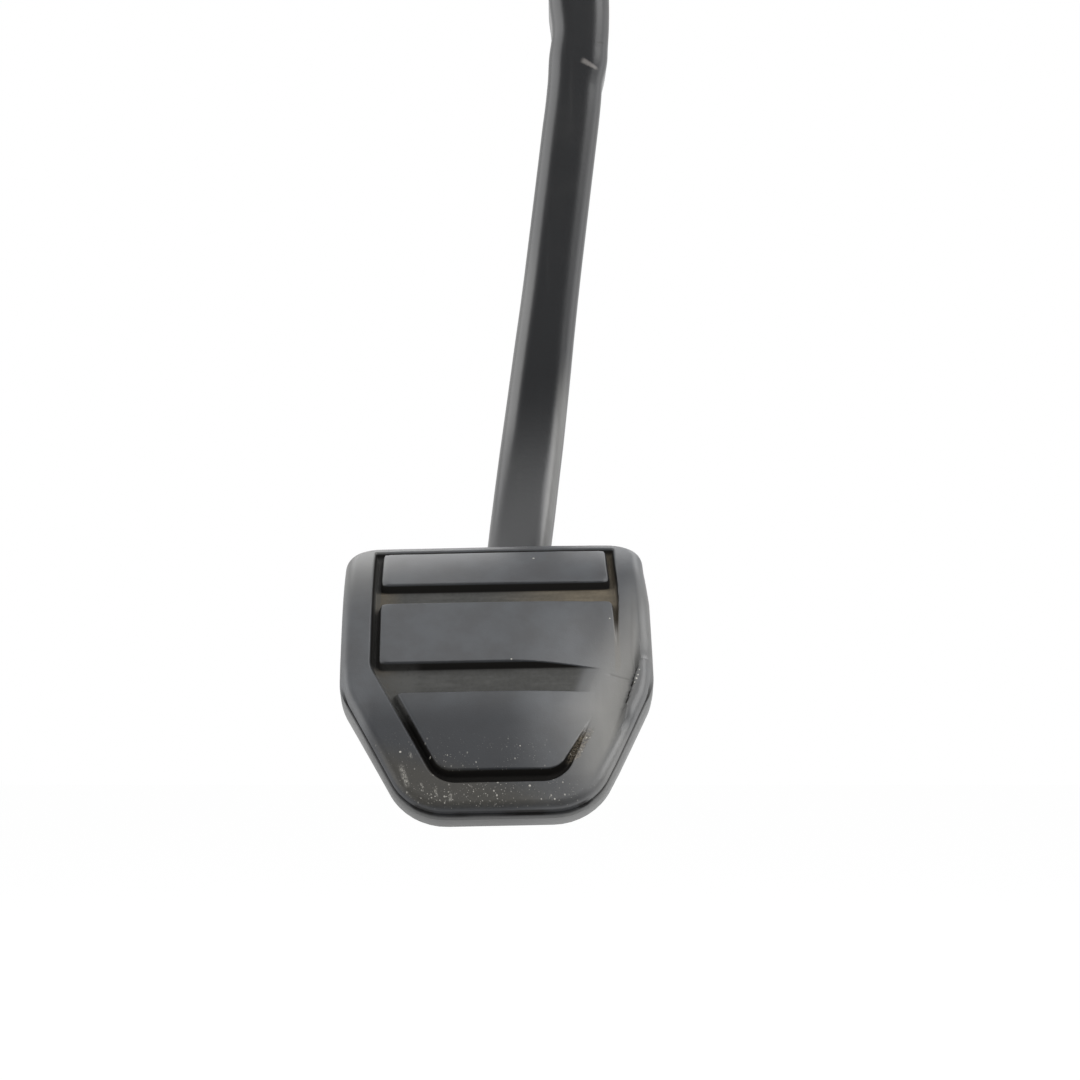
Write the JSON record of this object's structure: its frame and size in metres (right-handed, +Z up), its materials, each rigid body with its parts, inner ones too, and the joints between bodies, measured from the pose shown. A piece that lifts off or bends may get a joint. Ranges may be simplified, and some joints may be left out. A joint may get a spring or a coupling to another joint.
{
  "type": "brake pedal assembly",
  "caption": "Hanging brake pedal with a bent steel arm, a worn rubber pad, a pivot bracket, a torsion return spring and a stop-light switch.",
  "frame": {"origin": "middle of the four bulkhead stud holes, on the face that meets the bulkhead", "axes": "+Y forward through the bulkhead, +X to the driver's right, +Z up"},
  "size_m": [0.112, 0.1906, 0.3735],
  "materials": {
    "bracket_steel": "black dip coat, satin",
    "buffer_rubber": "matt moulded rubber",
    "collar_plastic": "natural plastic",
    "switch_plastic": "black moulded plastic",
    "terminal_brass": "tinned brass",
    "spring_steel": "oiled spring wire",
    "zinc_steel": "zinc plated",
    "arm_paint": "satin black paint, slightly worn",
    "bush_nylon": "natural nylon",
    "pad_rubber": "worn black rubber, polished by use on the right"
  },
  "bodies": {
    "bracket": {"bulkhead_plate": "bracket_steel", "left_cheek": "bracket_steel", "right_cheek": "bracket_steel", "top_plate": "bracket_steel", "stop_crossbar": "bracket_steel", "stop_buffer": "buffer_rubber", "switch_collar": "collar_plastic", "switch_housing": "switch_plastic", "switch_terminals": "terminal_brass", "switch_spring": "spring_steel", "pivot_bolt": "zinc_steel", "pivot_nut": "zinc_steel", "pivot_sleeve": "zinc_steel", "return_spring": "spring_steel"},
    "pedal": {"pivot_tube": "arm_paint", "left_bush": "bush_nylon", "right_bush": "bush_nylon", "upper_arm": "arm_paint", "lower_arm": "arm_paint", "pushrod_collar": "arm_paint", "pushrod_bush": "bush_nylon", "striker_tab": "arm_paint", "striker_button": "collar_plastic", "pad_plate": "arm_paint", "pad_rubber": "pad_rubber"},
    "plunger": {"switch_plunger": "collar_plastic"}
  },
  "joints": [
    {"name": "pedal_swing", "type": "hinge", "parent": "bracket", "child": "pedal", "pos_m": [0, -0.095, 0.07], "axis": [1, 0, 0], "range_deg": [0, 22], "stiffness_Nm_per_rad": 2, "springref_deg": -57.3, "deforming": ["return_spring"]},
    {"name": "plunger_slide", "type": "slide", "parent": "bracket", "child": "plunger", "axis": [0, 1, 0], "range_m": [0, 0.008], "deforming": ["switch_spring"]}
  ],
  "couplings": [
    {"joint": "plunger_slide", "follows": "pedal_swing", "m_per_rad": 0.02}
  ]
}
